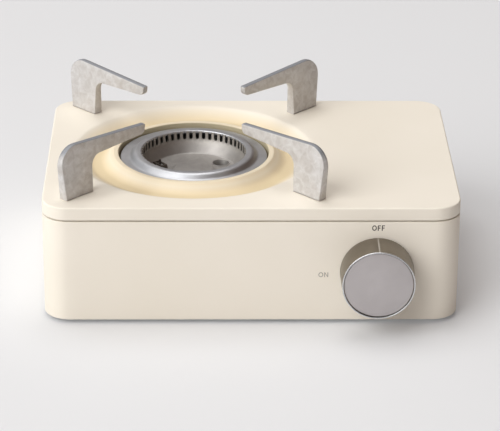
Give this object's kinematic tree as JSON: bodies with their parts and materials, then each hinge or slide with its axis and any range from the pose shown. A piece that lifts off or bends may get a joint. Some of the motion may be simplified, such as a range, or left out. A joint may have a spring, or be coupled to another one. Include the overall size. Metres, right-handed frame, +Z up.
{
  "type": "butane cassette stove",
  "caption": "Low table-top gas stove with a boxed painted casing, a ring burner in a dished top, angled cast pan supports and a round control knob in front.",
  "frame": {"origin": "on the table, below the middle of the whole object's box, knob included", "axes": "+X to the right seen from the front, along the casing's length; +Y to the back; +Z up"},
  "size_m": [0.28, 0.218, 0.1226],
  "materials": {
    "ivory_paint": "satin",
    "galvanised_steel": "matte",
    "black_rubber": "matte",
    "cast_aluminium": "cast",
    "turned_aluminium": "turned",
    "stainless_steel": "satin",
    "plated_steel": "plated",
    "brass": "machined",
    "zinc_alloy": "die cast",
    "magnet": "plated",
    "acetal": "moulded",
    "igniter_plastic": "moulded",
    "silicone_lead": "matte",
    "ceramic": "glazed",
    "satin_silver": "bead blasted",
    "marker_white": "matte"
  },
  "bodies": {
    "stove_body": {"base_screws": "plated_steel", "bottom_plate": "galvanised_steel", "burner_bracket": "galvanised_steel", "burner_chamber": "cast_aluminium", "burner_dish": "stainless_steel", "burner_head": "turned_aluminium", "burner_screws": "plated_steel", "cartridge_rail_left": "galvanised_steel", "cartridge_rail_right": "galvanised_steel", "cartridge_socket": "zinc_alloy", "corner_posts": "galvanised_steel", "cover_screws": "plated_steel", "diaphragm": "black_rubber", "divider_panel": "galvanised_steel", "electrode": "stainless_steel", "electrode_bracket": "stainless_steel", "electrode_insulator": "ceramic", "flame_ring": "stainless_steel", "gas_jet": "brass", "gas_pipe": "plated_steel", "heat_plate": "turned_aluminium", "igniter_body": "igniter_plastic", "igniter_bracket": "galvanised_steel", "ignition_lead": "silicone_lead", "jet_holder": "brass", "lower_casing": "ivory_paint", "mixing_tube": "plated_steel", "pan_support_back_left": "cast_aluminium", "pan_support_back_right": "cast_aluminium", "pan_support_front_left": "cast_aluminium", "pan_support_front_right": "cast_aluminium", "regulator_body": "zinc_alloy", "regulator_bracket": "galvanised_steel", "regulator_cover": "plated_steel", "regulator_screws": "plated_steel", "regulator_spring": "plated_steel", "rubber_foot_back_left": "black_rubber", "rubber_foot_back_right": "black_rubber", "rubber_foot_front_left": "black_rubber", "rubber_foot_front_right": "black_rubber", "socket_magnets": "magnet", "spindle_bush": "acetal", "stem_seal": "black_rubber", "support_screws": "plated_steel", "top_plate": "ivory_paint"},
    "control_knob": {"knob_barrel": "satin_silver", "knob_face": "satin_silver", "knob_marker": "marker_white", "knob_screw": "plated_steel", "spindle": "plated_steel", "valve_plug": "brass", "igniter_cam": "acetal"},
    "igniter_pusher": {"igniter_plunger": "acetal"}
  },
  "joints": [
    {"name": "knob_turn", "type": "hinge", "parent": "stove_body", "child": "control_knob", "pos_m": [0.084, -0.0975, 0.0391], "axis": [0, -1, 0], "range_deg": [0, 90]},
    {"name": "plunger_slide", "type": "slide", "parent": "stove_body", "child": "igniter_pusher", "axis": [1, 0, 0], "range_m": [0, 0.0045], "stiffness_N_per_m": 15}
  ],
  "couplings": [
    {"joint": "plunger_slide", "follows": "knob_turn", "m_per_rad": 0.00286}
  ]
}
